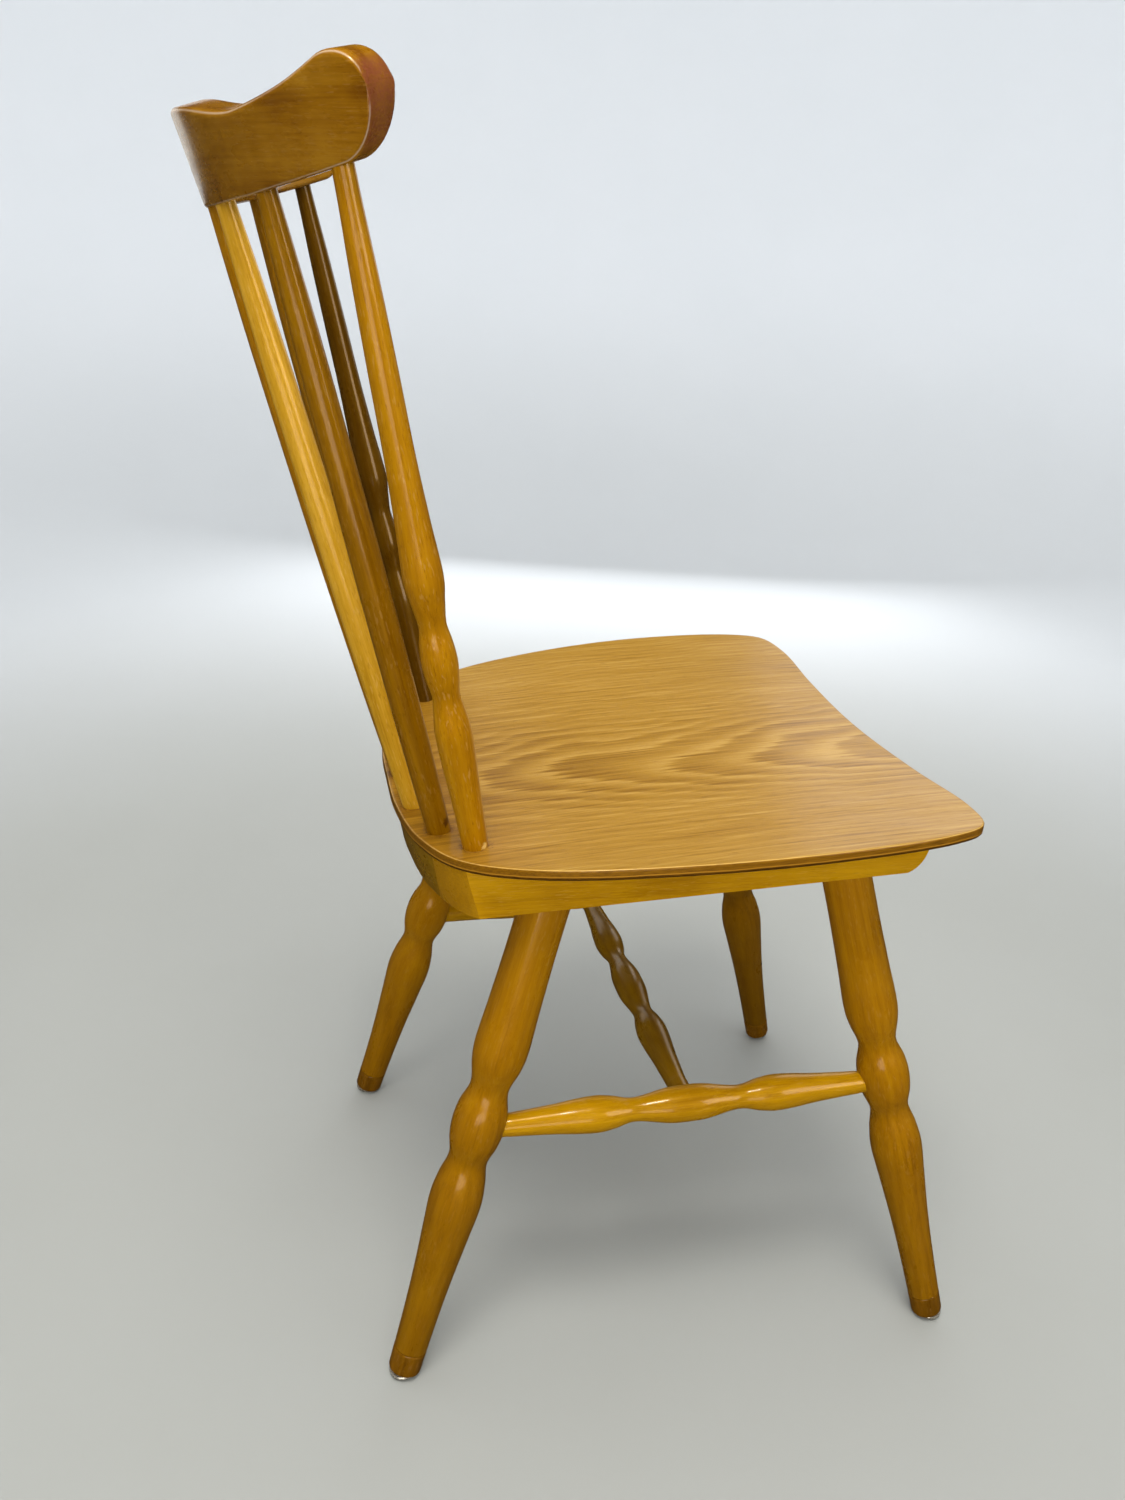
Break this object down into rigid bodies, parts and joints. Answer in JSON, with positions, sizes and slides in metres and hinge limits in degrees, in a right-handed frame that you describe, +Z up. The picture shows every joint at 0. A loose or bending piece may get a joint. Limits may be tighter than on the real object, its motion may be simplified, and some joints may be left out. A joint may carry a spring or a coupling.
{
  "type": "dining chair",
  "caption": "Wooden dining chair with splayed turned legs joined by an H of stretchers, a dished plywood seat on a U-shaped frame, and a spindle back under a bent crest rail.",
  "frame": {"origin": "on the floor under the middle of the chair's bounding box", "axes": "+Z up, -Y towards the sitter's front, +X towards the sitter's left"},
  "size_m": [0.4368, 0.5504, 0.8706],
  "materials": {
    "varnished_beech": "glossy amber varnish over beech",
    "crest_beech": "glossy brown varnish over beech",
    "seat_veneer": "varnished veneer with a cathedral figure",
    "raw_dowel": "bare wood",
    "glide_metal": "polished nickel plate",
    "screw_metal": "zinc plate"
  },
  "bodies": {
    "root": {"back_post_left": "varnished_beech", "back_post_right": "varnished_beech", "corner_dowel_left": "raw_dowel", "corner_dowel_right": "raw_dowel", "crest_rail": "crest_beech", "cross_stretcher": "varnished_beech", "front_dowel_left_1": "raw_dowel", "front_dowel_left_2": "raw_dowel", "front_dowel_right_1": "raw_dowel", "front_dowel_right_2": "raw_dowel", "front_leg_left": "varnished_beech", "front_leg_left_glide": "glide_metal", "front_leg_left_tip": "varnished_beech", "front_leg_right": "varnished_beech", "front_leg_right_glide": "glide_metal", "front_leg_right_tip": "varnished_beech", "front_rail": "varnished_beech", "inner_spindle_left": "varnished_beech", "inner_spindle_right": "varnished_beech", "middle_spindle": "varnished_beech", "outer_spindle_left": "varnished_beech", "outer_spindle_right": "varnished_beech", "rear_leg_left": "varnished_beech", "rear_leg_left_glide": "glide_metal", "rear_leg_left_tip": "varnished_beech", "rear_leg_right": "varnished_beech", "rear_leg_right_glide": "glide_metal", "rear_leg_right_tip": "varnished_beech", "rear_rail": "varnished_beech", "seat_panel": "seat_veneer", "seat_screw_front": "screw_metal", "seat_screw_left_1": "screw_metal", "seat_screw_left_2": "screw_metal", "seat_screw_left_3": "screw_metal", "seat_screw_right_1": "screw_metal", "seat_screw_right_2": "screw_metal", "seat_screw_right_3": "screw_metal", "side_rail_left": "varnished_beech", "side_rail_right": "varnished_beech", "side_stretcher_left": "varnished_beech", "side_stretcher_right": "varnished_beech"}
  },
  "joints": []
}
